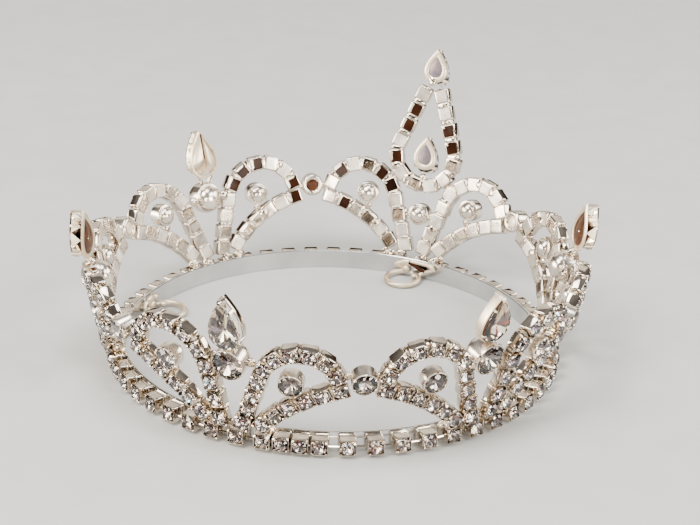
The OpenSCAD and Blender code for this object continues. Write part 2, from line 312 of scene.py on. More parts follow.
def lower_path():
    """A lower chain: one arc from its foot to the line."""
    chord = np.subtract(LOWER_END, LOWER_FOOT)
    bend = np.hypot(*chord) / 2 / sin(radians(LOWER_TURN / 2))
    start = atan2(chord[1], chord[0]) - radians(LOWER_TURN / 2)

    def place(s):
        a = start + s / bend
        return (LOWER_FOOT[0] + bend * (sin(a) - sin(start)),
                LOWER_FOOT[1] - bend * (cos(a) - cos(start)), degrees(a), 0)
    return place, bend * radians(LOWER_TURN) / (LOWER_N - 1)


def peak_path():
    """One side of the peak's loop: an arc from its foot, then straight to its point."""
    over = radians(90) + asin(PEAK_R / (PEAK_APEX - PEAK_C[1]))
    arc = PEAK_R * over

    def place(s):
        a = min(s, arc) / PEAK_R
        t = max(s - arc, 0)
        return (PEAK_R * sin(a) + t * cos(over),
                PEAK_C[1] - PEAK_R * cos(a) + t * sin(over), degrees(a), 0)
    return place, PEAK_PITCH


def chain_places(line, paths, steps):
    """Matrices of cups, or of the joints between them: one path for each side of a line."""
    out = []
    for side, (place, pitch) in zip((-1, 1), paths):
        for step in steps:
            u, w, heading, bow = place(step * pitch)
            spin = 90 - heading if side > 0 else heading - 90
            out.append(on_wall(line, (side * u, w), spin, bow))
    return out


def sector_arches(k):
    return arch_path(2 * k), arch_path(2 * k + 1)


def hand_set(places, seed):
    """The places of a chain's cups, each tilted a little by chance about its own middle."""
    out = []
    for k, place in enumerate(places):
        own = random.Random(seed * 100 + k)
        a, b = own.uniform(-CUP_TILT, CUP_TILT), own.uniform(-CUP_TILT, CUP_TILT)
        tilt = shift(0, -CUP_D / 2, 0) @ turn("x", a) @ turn("z", b) @ shift(0, CUP_D / 2, 0)
        out.append(place @ tilt)
    return out


# Small shapes: points, faces, and for each face its material and whether it is smooth

def for_each(faces, value):
    """A value for each face, from a list or from one for all."""
    return list(value) if hasattr(value, "__len__") else [value] * len(faces)


def shape(points, faces, material=0, smooth=True):
    """Turns the faces of a closed shape outwards and gives the shape as arrays."""
    bm = bmesh.new()
    verts = [bm.verts.new(p) for p in points]
    for f in faces:
        bm.faces.new([verts[i] for i in f])
    bmesh.ops.recalc_face_normals(bm, faces=bm.faces)
    bm.verts.index_update()
    faces = [[v.index for v in f.verts] for f in bm.faces]
    bm.free()
    return np.array(points, float), faces, for_each(faces, material), [smooth] * len(faces)


def loft(rings, material=0, smooth=True, around=False):
    """Skin over rings that have the same number of points each, capped or joined around."""
    n = len(rings[0])
    points = np.concatenate(rings)
    faces = []
    for j in range(len(rings) - (0 if around else 1)):
        after = (j + 1) % len(rings)
        for k in range(n):
            faces.append((j * n + k, j * n + (k + 1) % n, after * n + (k + 1) % n, after * n + k))
    if not around:
        points = np.concatenate([points, [rings[0].mean(0)], [rings[-1].mean(0)]])
        first, last = len(points) - 2, len(points) - 1
        top = (len(rings) - 1) * n
        for k in range(n):
            faces.append((first, (k + 1) % n, k))
            faces.append((last, top + k, top + (k + 1) % n))
    return shape(points, faces, material, smooth)


def ring(outline, y, scale=1.0, centre=(0.0, 0.0)):
    """An outline in x and z at one depth, scaled about a centre."""
    flat = np.subtract(outline, centre) * scale + centre
    return np.stack([flat[:, 0], np.full(len(flat), y), flat[:, 1]], -1)


def stack(outline, profile, centre=(0.0, 0.0), **how):
    """Skin over copies of an outline, each with a [scale, depth], scaled about a centre."""
    return loft([ring(outline, y, s, centre) for s, y in profile], **how)


def rounded_square(half, corner):
    """Square outline with round corners, five points to a corner."""
    far, out = half - corner, []
    for k, (x, z) in enumerate(((1, 1), (-1, 1), (-1, -1), (1, -1))):
        for a in np.radians(np.linspace(90 * k, 90 * k + 90, 5)):
            out.append((x * far + corner * cos(a), z * far + corner * sin(a)))
    return out


def circle(radius, n=32):
    return [(radius * cos(2 * pi * k / n), radius * sin(2 * pi * k / n)) for k in range(n)]


def pear(w, h, n=16):
    """Pear outline of 2n points, from its tip round, with its foot at the origin."""
    widest = sqrt(16 / 27)
    out = []
    for k in range(2 * n):
        a = pi * k / n
        out.append((w / 2 / widest * sin(a) * abs(sin(a / 2)), h * (1 + cos(a)) / 2))
    return out


def pear_middle(h):
    return 0, h * 0.4


def cup_shape(depth, collar=False):
    """Stamped cup: a flat back with rounded edges, and an open front."""
    outline = rounded_square(CUP_W / 2, CUP_CORNER)
    back = [(0.50, 0.0), (0.78, 0.0), (0.87, -0.04), (0.95, -0.16), (1.0, -0.45)]
    fold = [(1.0, -1.30), (1.05, -1.42), (1.05, -1.62), (1.0, -1.74)] if collar else []
    front = [(1.0, -depth + 0.25), (0.965, -depth), (0.90, -depth + 0.02), (0.87, -depth + 0.5),
             (0.80, -depth + 1.6), (0.4, -1.2)]
    return stack(outline, back + fold + front)


def bead(rx, ry, rz, n=8, rows=5):
    """Closed rounded blob, n points round."""
    rings = []
    for j in range(1, rows):
        a = pi * j / rows
        around = circle(sin(a), n)
        rings.append(np.array([(rx * x, -ry * cos(a), rz * z) for x, z in around]))
    return loft(rings)


def tab(path, thick=0.15):
    """Bent strip: each place of its path is [out, y, half its width]."""
    flat = np.array(path)[:, :2]
    way = np.gradient(flat, axis=0)
    way /= np.linalg.norm(way, axis=1)[:, None]
    corners = ((1, -0.75), (1, 0.75), (0, 1), (-1, 0.75), (-1, -0.75), (0, -1))
    return loft([np.array([(x - t * thick * dy, y + t * thick * dx, s * half) for t, s in corners])
                 for (x, y, half), (dx, dy) in zip(path, way)])


def prong_shape():
    """Prong: a tab that stands on the cup's corner and bends over the stone."""
    return tab([(0.02, 0.9, 0.55), (0.05, 0.1, 0.52), (-0.02, -0.25, 0.47), (-0.25, -0.48, 0.40),
                (-0.62, -0.56, 0.26)])


def small_claw():
    """Claw of a round setting, on its rim."""
    return tab([(0.12, 0.7, 0.42), (0.14, 0.1, 0.38), (0.0, -0.11, 0.34), (-0.42, -0.22, 0.2)], 0.13)


def claw_shape(deep, root):
    """Claw of a pear setting: from the back strip, up the stone's side and over its edge."""
    return tab([(root, -1.1, 0.44), (root * 0.4 + 0.1, -1.5, 0.46), (0.20, -2.3, 0.44),
                (0.16, -deep + 0.6, 0.40), (0.02, -deep, 0.38), (-0.30, -deep - 0.28, 0.34),
                (-0.80, -deep - 0.40, 0.20)])


def back_facets(k, n, girdle, belly, tip):
    """The four facets of a stone's back at its main facet k of n."""
    g, g1, g2 = girdle + 2 * k, girdle + 2 * k + 1, girdle + (2 * k + 2) % (2 * n)
    before = belly + (k - 1) % n
    return [(g, g1, belly + k), (g1, g2, belly + k), (g, belly + k, tip), (g, tip, before)]


def cut_stone(outline, centre, table, mid, crown, pavilion, girdle=0.12, belly=(0.5, 0.56)):
    """Cut stone: a table, stars, kites and upper facets above the girdle, foiled below.

    The outline has twice as many points as the stone has main facets. The girdle's
    plane is y = 0, the table faces -y and the foil is inside the setting. The belly is
    how wide the back still is at a part of its depth.
    """
    n = len(outline) // 2
    even, odd = outline[0::2], outline[1::2]
    rings = [ring(even, -crown, table, centre), ring(odd, -crown * 0.52, mid, centre),
             ring(outline, -girdle / 2), ring(outline, girdle / 2),
             ring(odd, pavilion * belly[1], belly[0], centre)]
    points = np.concatenate(rings + [np.array([[centre[0], pavilion, centre[1]]])])
    faces, materials = [list(range(n))], [CRYSTAL]
    for k in range(n):
        g, g1, g2 = 2 * n + 2 * k, 2 * n + 2 * k + 1, 2 * n + (2 * k + 2) % (2 * n)
        m, before = n + k, n + (k - 1) % n
        faces += [(k, (k + 1) % n, m), (k, m, g, before), (m, g1, g), (m, g2, g1)]
        faces += [(a, b, b + 2 * n, a + 2 * n) for a, b in ((g, g1), (g1, g2))]
        faces += back_facets(k, n, 4 * n, 6 * n, 7 * n)
        materials += [CRYSTAL] * 6 + [FOIL] * 4
    return shape(points, faces, materials, smooth=False)


def round_cut(d, crown, pavilion):
    return cut_stone(circle(d / 2, 16), (0, 0), 0.56, 0.84, d * crown, d * pavilion)


def pear_cut(w, h):
    return cut_stone(pear(w, h, 10), pear_middle(h), 0.52, 0.80, PEAR_CROWN, FOIL_DEPTH,
                     PEAR_GIRDLE, FOIL_BELLY)


def pear_coat(w, h, material):
    """Coat on a pear stone's back: a thin closed shell, silver next to the girdle."""
    n = 10
    outline, middle = pear(w, h, n), pear_middle(h)
    rings, tips = [], []
    for more in (0.01, 0.035):
        belly, off = COAT_BELLY[0] + more, more * 4
        rings += [ring(outline, 0.25, 1 + more * 0.4, middle),
                  ring(outline[1::2], COAT_DEPTH * COAT_BELLY[1] + off, belly, middle)]
        tips.append((middle[0], COAT_DEPTH + off, middle[1]))
    points = np.concatenate(rings + [np.array(tips)])
    faces, materials = [], []
    for layer in (0, 1):
        for k in range(n):
            faces += back_facets(k, n, layer * 3 * n, layer * 3 * n + 2 * n, 6 * n + layer)
            materials += [PLATED, PLATED, material, material]
    for k in range(2 * n):
        k1 = (k + 1) % (2 * n)
        faces.append((k, k1, 3 * n + k1, 3 * n + k))
        materials.append(PLATED)
    return shape(points, faces, materials, smooth=False)


def round_rim(r, deep):
    """Side and rim of a round setting, from its back edge to the inside of its seat."""
    return [(r, -0.8), (r, -deep + 0.5), (r - 0.05, -deep + 0.15), (r - 0.28, -deep + 0.05),
            (r - 0.42, -deep + 0.35), (r - 0.5, -deep + 1.2)]


def domed_setting(d, deep, high, dome):
    """Round setting with a domed back that stands on a step."""
    r = d / 2
    curve = [(dome * sin(radians(a)), -0.3 + (high + 0.3) * cos(radians(a)))
             for a in (6, 18, 31, 44, 57, 70, 81, 90)]
    step = [(dome + 0.12, -0.36), (r - 0.30, -0.34), (r - 0.10, -0.45)]
    return stack(circle(1), curve + step + round_rim(r, deep) + [(r * 0.4, -1.0)])


def open_setting(d, deep):
    """Round setting with a hole in its back, in a rounded ring."""
    r = d / 2
    hole = [(1.9, -1.2), (1.92, -0.55), (2.08, -0.15), (2.45, 0.08), (2.95, 0.08), (3.4, -0.15)]
    rim = [(r, -0.6)] + round_rim(r, deep) + [(r * 0.6, -1.8)]
    return stack(circle(1), hole + rim, around=True)


def round_coat(material):
    """Coat on the back of a round stone, which shows in the hole of its setting."""
    profile = [(2.0, -1.3), (2.0, -0.9), (1.5, -0.66), (0.8, -0.52), (0.2, -0.48)]
    return stack(circle(1, 20), profile, material=material)


def pear_strip(w, h, deep, thick):
    """Strip bent round the back of a pear stone, with rounded edges."""
    wall = thick / (w / 2)
    profile = [(1, -0.25), (1 - 0.25 * wall, -0.02), (1 - 0.75 * wall, 0.0), (1 - wall, -0.2),
               (1 - wall, -deep + 0.1), (1 - 0.5 * wall, -deep), (1, -deep + 0.15)]
    return stack(pear(w, h), profile, pear_middle(h), around=True)


def pear_plate(w, h, wide, material):
    """Plate that closes the back of a pear setting, inside its strip."""
    profile = [(0.1, -0.2), (0.5, -0.3), (0.8 * wide, -0.5), (wide, -0.7), (wide, -1.1), (0.1, -1.1)]
    return stack(pear(w, h), profile, pear_middle(h), material=material)


def folded_back():
    """Closed back of a finial's pear: one flat creased half, and one rolled half beside it."""
    creased = [(-0.15, 15.7), (2.2, 12.0), (3.9, 8.2), (4.6, 5.6), (4.5, 4.5), (3.0, 4.1),
               (0.5, 4.3), (0.15, 6.0), (0.05, 11.0)]
    rolled = [(-0.45, 15.7), (-1.6, 13.2), (-3.0, 9.8), (-4.3, 6.6), (-4.75, 4.8), (-4.4, 3.1),
              (-3.2, 2.0), (-1.6, 2.1), (-0.6, 3.4), (-0.25, 6.0), (-0.25, 11.0)]
    creases = [(1.0, -1.6), (1.0, -0.1), (0.92, 0.12), (0.45, 0.75), (0.05, 0.95)]
    rolls = [(1.0, -1.6), (1.0, -0.1), (0.92, 0.35), (0.75, 0.8), (0.5, 1.15), (0.2, 1.34),
             (0.05, 1.36)]
    return stack(creased, creases, (0.7, 7.0), smooth=False), stack(rolled, rolls, (-1.8, 5.6))


def back_filling(back, w, h, deep):
    """What closes or lines the back of a pear setting, or None."""
    if back == "plate":
        return pear_plate(w, h, 0.93, PLATE)
    if back == "wide":
        return pear_plate(w, h, 0.80, LACQUER_AND_SHADE)
    if back == "wall":
        # A thin dark ring just inside the wall: painted shadow between the wall and the stone
        line = [(0.93, -3.3), (0.86, -3.3), (0.86, -deep + 0.1), (0.93, -deep + 0.1)]
        return stack(pear(w, h), line, pear_middle(h), material=LACQUER_AND_SHADE, around=True)
    if back == "fold":
        # A dark strip behind the gap between the two halves: painted shade in the seam
        seam = [(-0.3, 15.2), (0.25, 12.0), (0.35, 6.6), (-0.5, 6.6), (-0.55, 12.0)]
        return stack(seam, [(1.0, -0.2), (1.0, 0.35)], material=LACQUER_AND_SHADE, smooth=False)
    return None


def tube(path, radius, n=12):
    """Round wire along a path of points."""
    path = np.array(path, float)
    tangent = np.gradient(path, axis=0)
    tangent /= np.linalg.norm(tangent, axis=1)[:, None]
    up = np.array([0.0, 0.0, 1.0] if abs(tangent[:, 2]).max() < 0.9 else [1.0, 0.2, 0.0])
    angle = 2 * pi * np.arange(n)[:, None] / n
    rings = []
    for p, t in zip(path, tangent):
        a = np.cross(t, up)
        a /= np.linalg.norm(a)
        b = np.cross(a, t)
        rings.append(p + radius * (np.cos(angle) * a + np.sin(angle) * b))
    return loft(rings)


def blob(size, flat=0.6):
    """Lump of solder: a rounded blob pushed in and out by a few soft waves."""
    points, faces, materials, smooth = bead(size, size * flat, size, 14, 8)
    push = np.ones(len(points))
    for _ in range(4):
        direction, phase, height = rng.uniform(-2, 2, 3), rng.uniform(0, 6.28), rng.uniform(0.05, 0.14)
        push += height * np.sin(points @ direction * 1.4 / size + phase)
    return points * push[:, None], faces, materials, smooth


def joint_shape(gap):
    """Soft rounded bar of solder that fills the gap between two cups."""
    half = gap / 2 + 0.38
    outline = [(-1.85, -half * 0.8), (-1.0, -half), (1.0, -half), (1.85, -half * 0.8), (2.2, 0),
               (1.85, half * 0.8), (1.0, half), (-1.0, half), (-1.85, half * 0.8), (-2.2, 0)]
    profile = [(0.3, 0.12), (0.6, 0.08), (0.84, -0.06), (0.96, -0.24), (1.0, -0.5),
               (1.0, -CUP_D + 1.4), (0.9, -CUP_D + 1.0)]
    return stack(outline, profile)


def new_object(name, data):
    made = bpy.data.objects.new(name, data)
    bpy.context.scene.collection.objects.link(made)
    return made


class Pile:
    """Collects copies of shapes into one mesh."""

    def __init__(self):
        self.points, self.faces, self.materials, self.smooth, self.tints = [], [], [], [], []
        self.count = 0

    def add(self, form, place, tints=POLISH):
        """Adds a shape at a place, with a tone for each face or one for all."""
        points, faces, materials, smooth = form
        self.points.append(points @ place[:3, :3].T + place[:3, 3])
        self.faces += [[i + self.count for i in f] for f in faces]
        self.materials += materials
        self.smooth += smooth
        self.tints += for_each(faces, tints)
        self.count += len(points)
        return self

    def piece(self, name, materials, slot, *nodes):
        """Makes the pile a piece, which may stand for nodes."""
        mesh = bpy.data.meshes.new(name)
        mesh.from_pydata(np.concatenate(self.points) * MM, [], self.faces)
        for m in materials:
            mesh.materials.append(m)
        mesh.polygons.foreach_set("material_index", self.materials)
        tint = mesh.attributes.new("tint", "FLOAT", "FACE")
        tint.data.foreach_set("value", self.tints)
        mesh.polygons.foreach_set("use_smooth", self.smooth)
        if any(self.smooth):
            mesh.set_sharp_from_angle(angle=radians(SHARP))
        mesh.update()
        o = new_object(name, mesh)
        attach(o, BODY)
        if nodes:
            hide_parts(*nodes)

    def metalwork(self, name, material):
        """Makes the pile a piece of the soldered metal."""
        self.piece(name, [material], "silver_plate", "crown_frame")


# Materials

# Sockets of a Mix node for colours
MIX_FACTOR, MIX_A, MIX_B, MIX_RESULT = 0, 6, 7, 2


def new_material(name):
    material = bpy.data.materials.new(name)
    material.use_nodes = True
    tree = material.node_tree
    return material, tree, tree.nodes["Principled BSDF"]


def wire(tree, node, links=(), **values):
    """Sets a node's properties and sockets by name, and links others into it."""
    for key, value in values.items():
        if hasattr(node, key):
            setattr(node, key, value)
        else:
            node.inputs[key.replace("_", " ")].default_value = value
    for key, source in dict(links).items():
        tree.links.new(source, node.inputs[key])
    return node


def add_node(tree, kind, links=(), **values):
    return wire(tree, tree.nodes.new(kind), links, **values)


def ramp(tree, source, stops):
    """Colours at stops along a value."""
    node = add_node(tree, "ShaderNodeValToRGB", {"Fac": source})
    while len(node.color_ramp.elements) < len(stops):
        node.color_ramp.elements.new(0.5)
    for element, (at, colour) in zip(node.color_ramp.elements, stops):
        element.position = at
        element.color = (*colour, 1.0)
    return node.outputs["Color"]


def remap(tree, source, start, end, low, high):
    """A value that runs from low to high while its source runs from start to end."""
    node = add_node(tree, "ShaderNodeMapRange", {"Value": source}, From_Min=start, From_Max=end,
                    To_Min=low, To_Max=high)
    return node.outputs["Result"]


def object_place(tree):
    return add_node(tree, "ShaderNodeTexCoord").outputs["Object"]


def noise(tree, where, scale, detail):
    node = add_node(tree, "ShaderNodeTexNoise", {"Vector": where}, Scale=scale, Detail=detail)
    return node.outputs["Fac"]


def bump(tree, height, strength, distance):
    node = add_node(tree, "ShaderNodeBump", {"Height": height}, Strength=strength, Distance=distance)
    return node.outputs["Normal"]


def face_tint(tree):
    return add_node(tree, "ShaderNodeAttribute", attribute_name="tint").outputs["Fac"]


def metal(name, light, dark, rough, ripple, scale):
    """Plated metal with soft ripples; its faces' tints are painted reflections, from dark brown over
    polished to a matt-white highlight.
    """
    material, tree, shader = new_material(name)
    where, tint = object_place(tree), face_tint(tree)
    colour = ramp(tree, noise(tree, where, scale * 1.5, 2.0), [(0.32, dark), (0.62, light)])
    # Colours of the tints: painted dark-brown and blue-grey reflections, white at polish, and above it
    # brighter than white, a painted highlight
    tone = ramp(tree, tint, [(0.0, (0.016, 0.008, 0.006)), (PAINTED_DARK, (0.046, 0.019, 0.011)),
                             (0.20, (0.42, 0.45, 0.54)), (0.36, (0.72, 0.69, 0.68)),
                             (0.48, (1, 1, 1)), (0.78, (1.26, 1.30, 1.36))])
    mixed = add_node(tree, "ShaderNodeMix", {MIX_A: colour, MIX_B: tone}, data_type="RGBA",
                     blend_type="MULTIPLY")
    mixed.inputs[MIX_FACTOR].default_value = 1.0
    # The painted dark-brown reflection isn't metallic, and the painted matt-white highlight is so in
    # part
    metallic_above_dark = remap(tree, tint, PAINTED_DARK, 0.19, 0.0, 1.0)
    white_highlight = remap(tree, tint, 0.80, 1.0, 1.0, 0.4)
    least = add_node(tree, "ShaderNodeMath", {0: metallic_above_dark, 1: white_highlight}, operation="MINIMUM")
    wire(tree, shader, {"Base Color": mixed.outputs[MIX_RESULT],
                        "Roughness": remap(tree, tint, POLISH, 1.0, rough, rough + 0.28),
                        "Metallic": least.outputs["Value"],
                        "Normal": bump(tree, noise(tree, where, scale, 1.0), ripple, 0.0004)},
         Specular_IOR_Level=0.03)
    return material


def band_metal():
    """Polished strip: fine rolling lines round the band and faint smudges."""
    material, tree, shader = new_material("band_silver")
    where = object_place(tree)
    drawn_out = add_node(tree, "ShaderNodeMapping", {"Vector": where}, Scale=(30.0, 30.0, 5200.0))
    lines = noise(tree, drawn_out.outputs["Vector"], 1.0, 2.0)
    smudge = noise(tree, where, 70.0, 3.0)
    wire(tree, shader, {"Base Color": ramp(tree, smudge, [(0.3, (0.50, 0.50, 0.50)),
                                                          (0.7, (0.68, 0.68, 0.67))]),
                        "Roughness": remap(tree, smudge, 0.0, 1.0, 0.08, 0.24),
                        "Normal": bump(tree, lines, 0.12, 0.0001)}, Metallic=1.0)
    return material


def foil():
    """Mirror foil under the stones: reflections painted on its facets, most silver, some dark, a few
    that flash a painted colour.
    """
    material, tree, shader = new_material("foil")
    colour = ramp(tree, face_tint(tree),
                  [(0.0, (0.035, 0.018, 0.014)), (0.22, (0.10, 0.068, 0.062)),
                   (0.46, (0.20, 0.165, 0.18)), (0.66, (0.32, 0.26, 0.23)),
                   (0.82, (0.92, 0.80, 0.62)), (0.93, (1.0, 0.94, 0.82)),
                   (0.945, (0.45, 0.85, 0.95)), (0.965, (0.62, 0.30, 0.34)),
                   (0.985, (0.30, 0.07, 0.05))])
    wire(tree, shader, {"Base Color": colour}, Metallic=1.0, Roughness=0.06)
    return material


def clouded(name, scale, detail, dark, light, **finish):
    """A finish whose colour runs in soft clouds between two."""
    material, tree, shader = new_material(name)
    cloud = noise(tree, object_place(tree), scale, detail)
    wire(tree, shader, {"Base Color": ramp(tree, cloud, [(0.3, dark), (0.7, light)])}, **finish)
    return material


SILVER = metal("silver_plate", light=(0.70, 0.62, 0.51), dark=(0.42, 0.36, 0.31),
               rough=0.09, ripple=0.6, scale=150.0)
SATIN = metal("satin_silver", light=(0.80, 0.69, 0.53), dark=(0.62, 0.52, 0.40),
              rough=0.40, ripple=0.3, scale=150.0)
SOLDER = metal("solder", light=(0.76, 0.67, 0.54), dark=(0.46, 0.39, 0.32),
               rough=0.16, ripple=1.0, scale=420.0)
BAND = band_metal()

# The stones' materials: crystal, foil, bronze lacquer on its back that also stands in dark as
# painted shade in two settings, dull grey foil with a pink cast behind the peak's two drops, and plate
STONE = [clouded("crystal", 260.0, 2.0, (0.93, 0.94, 0.95), (1.0, 0.99, 0.97),
                 Transmission_Weight=1.0, IOR=1.6, Roughness=0.02),
         foil(),
         clouded("lacquer_and_shade", 500.0, 4.0, (0.026, 0.010, 0.005), (0.085, 0.031, 0.013),
                 Roughness=0.30, Specular_IOR_Level=0.09),
         clouded("plate_foil", 260.0, 3.0, (0.13, 0.12, 0.16), (0.29, 0.23, 0.22),
                 Metallic=0.8, Roughness=0.42),
         SATIN]


# Pieces

def stone_tints(form, place, seed):
    """A tint for each foil facet, a painted reflection: brighter low down, with some chance, and a few
    painted colours.
    """
    points, faces, materials, _ = form
    up = place[:3, :3].T @ (0, 0, 1)
    middle, reach = points.mean(0), abs(points[:, 0]).max()
    tints = []
    for k, (face, material) in enumerate(zip(faces, materials)):
        own = random.Random(seed * SEED_STEP + k // 2)
        height = (points[face].mean(0) - middle) @ up / reach
        tint = min(max(0.46 - 0.62 * height + own.uniform(-0.36, 0.36), 0), 0.92)
        flash = own.random()
        flashes = flash < FLASH_SHARE and material == FOIL
        tints.append(FLASH_FROM + flash * 1.7 if flashes else tint)
    return tints


def pear_tints(form, seed):
    """Painted reflections in the foil of a pear stone: light at its tip and its foot, dark and
    coloured between.
    """
    points, faces = form[:2]
    top = points[:, 2].max()
    tints = []
    for k, face in enumerate(faces):
        own = random.Random(seed * SEED_STEP + k // 2)
        height = points[face][:, 2].mean() / top
        zone = (0.66, 0.86) if height > 0.60 else (0.22, 0.52) if height > 0.34 else (0.78, 0.93)
        coloured = own.random() < 0.10
        tints.append(own.choice((0.05, 0.3, 0.99)) if coloured else own.uniform(*zone))
    return tints


def make_band():
    """The strip, bent to a ring, with its edges bevelled."""
    inner, outer, edge = BAND_R - BAND_T, BAND_R, BAND_EDGE
    profile = [(inner, edge), (inner + edge, 0), (outer - edge, 0), (outer, edge),
               (outer, BAND_H - edge), (outer - edge, BAND_H), (inner + edge, BAND_H),
               (inner, BAND_H - edge)]
    rings = [np.array([(r * sin(a), -r * cos(a), z) for r, z in profile])
             for a in np.arange(BAND_STEPS) * 2 * pi / BAND_STEPS]
    Pile().add(loft(rings, around=True), np.eye(4)).metalwork("band", BAND)


def chance_painted_tone():
    """Tone of a cup's back, a painted reflection: few are dark brown, some grey, some polished and the
    others a painted matt-white highlight.
    """
    luck = rng.random()
    if luck < 0.13:
        return rng.uniform(0.0, 0.14)
    if luck < 0.30:
        return rng.uniform(0.2, 0.44)
    if luck > 0.60:
        return rng.uniform(0.75, 1.0)
    return POLISH


def cup_pile(places, depth, collar=False, tones=None):
    """Cups with four prongs each; the tones of their backs, painted reflections, are given or left to
    chance.
    """
    pile = Pile()
    cup, prong = cup_shape(depth, collar), prong_shape()
    corner = CUP_W / 2 * sqrt(2) - PRONG_IN
    lows = [cup[0][face][:, 1].min() for face in cup[1]]
    middles = np.array([cup[0][face].mean(axis=0) for face in cup[1]])
    for j, place in enumerate(places):
        # A given tone has its draw too, so that it changes no other cup
        luck = chance_painted_tone()
        tone = tones[j] if tones else luck
        # A cup with a painted dark-brown reflection gets a painted highlight on the faces of its back
        # towards one side
        lit = (middles @ place[:3, :3].T @ PAINTED_GLINT_WAY > PAINTED_GLINT_FROM) & (tone < PAINTED_DARK)
        back = np.where(lit, PAINTED_GLINT_TONE, tone)
        # The rounded edge of the back is painted lighter, a painted highlight, and the sides darker,
        # painted shade
        tints = [own if low > -0.01 else LIT_EDGE_TONE if low > -0.5 else SHADED_SIDE_TONE
                 for low, own in zip(lows, back)]
        pile.add(cup, place, tints)
        for k in range(4):
            stand = turn("y", 45 + 90 * k) @ shift(corner, -depth, 0)
            pile.add(prong, place @ stand)
    return pile


def chain_stones(places, depth, name, seed, *nodes):
    """The small round stones of a chain, each turned a little by chance."""
    cut = round_cut(CHIP_D - STONE_GAP, *CHIP_CUT)
    pile = Pile()
    for k, place in enumerate(places):
        spin = turn("y", 45 * random.Random(seed + k).random())
        seat = place @ shift(0, -depth - STONE_GAP, 0) @ spin
        pile.add(cut, seat, stone_tints(cut, seat, seed * 1000 + k))
    pile.piece(name, STONE, "chain_crystal", *nodes)


def make_base():
    """The base chain: its cups, its stones and the wire links between them."""
    places = [on_band(base_angle(k)) for k in range(BASE_N)]
    cup_pile(places, BASE_CUP_D, True).metalwork("base_cups", SILVER)
    chain_stones(places, BASE_CUP_D, "base_stones_cut", CHAIN_SEEDS["base"], "base_stones")
    angles = sorted(base_angle(k) for k in range(BASE_N))
    half = degrees((CUP_W / 2 - 0.3) / LINK_R)
    links = Pile()
    for a, b in zip(angles, angles[1:] + [angles[0] + 360]):
        sweep = np.radians(np.linspace(a + half, b - half, 5))
        path = [(LINK_R * sin(t), -LINK_R * cos(t), BASE_MID) for t in sweep]
        links.add(tube(path, LINK_WIRE / 2, 8), np.eye(4))
    links.metalwork("base_links", SILVER)


def make_round(name, place, d, deep, seed, node, dome=None, coat=None):
    """A round setting with six small claws and a domed or an open back, and its stone."""
    form = domed_setting(d, deep, *dome) if dome else open_setting(d, deep)
    setting, claw = Pile().add(form, place, ROUND_TONE), small_claw()
    for j in range(6):
        setting.add(claw, place @ turn("y", 60 * j + 30) @ shift(d / 2 - CLAW_IN, -deep, 0))
    cut, seat = round_cut(d - ROUND_RIM, *ROUND_CUT), place @ shift(0, -deep + GIRDLE_IN, 0)
    stone = Pile().add(cut, seat, stone_tints(cut, seat, seed))
    if not dome:
        setting.add(bead(0.6, 0.4, 0.45), place @ shift(0.2, 0.05, -2.5))
        stone.add(round_coat(coat), place, COAT_TONE)
    setting.metalwork(name + "_setting", SILVER)
    stone.piece(name + "_cut", STONE, "set_crystal", node)


def add_pear_claws(pile, place, w, h, claw):
    """Adds claws round a pear, with a double one at its tip."""
    outline = pear(w - 0.7, h - 1.0)
    for k in PEAR_CLAWS:
        (x, z), before, after = outline[k], outline[k - 1], outline[k + 1]
        facing = degrees(atan2(after[0] - before[0], before[1] - after[1]))
        wide = np.diag([1.0, 1.0, 1.0 if k else 2.0, 1.0])
        pile.add(claw, place @ shift(x, 0, z + 0.3) @ turn("y", -facing) @ wide)


def make_pear(name, place, w, h, deep, seed, node, back):
    """A pear setting with claws, and its stone.

    Its back is open, in a narrow strip or a full wall, or it is a wide flat strip round a
    lacquered opening, or folded shut, or a smaller grey plate in a thick strip.
    """
    strip_deep, thick, off, coat = PEAR_BACKS[back]
    plated = back == "plate"
    root = -1.7 if plated else 0.2
    back_w, back_h = (w * PLATE_W, h * PLATE_H) if plated else (w, h)
    back_at = place @ shift(0, 0, h - back_h)
    setting = Pile().add(pear_strip(back_w, back_h, strip_deep, thick), back_at @ shift(0, -off, 0))
    if back == "fold":
        for half in folded_back():
            setting.add(half, place)
    add_pear_claws(setting, place, w, h, claw_shape(deep - 0.15, root))
    setting.metalwork(name + "_setting", SILVER if back == "open" else SATIN)

    cut_w, cut_h = w - PEAR_RIM[0], h - PEAR_RIM[1]
    cut, seat = pear_cut(cut_w, cut_h), place @ shift(0, -deep + GIRDLE_IN, PEAR_FOOT)
    if plated:
        cut = (*cut[:2], [CRYSTAL] * len(cut[1]), cut[3])
    stone = Pile().add(cut, seat, pear_tints(cut, seed))
    if coat is not None:
        shell = pear_coat(cut_w, cut_h, coat)
        tints = [random.Random(seed * 9 + j).uniform(0.5, 0.92) for j in range(len(shell[1]))]
        stone.add(shell, seat, tints)
    filling = back_filling(back, back_w, back_h, deep)
    if filling:
        stone.add(filling, back_at)
    stone.piece(name + "_cut", STONE, "set_crystal", node)


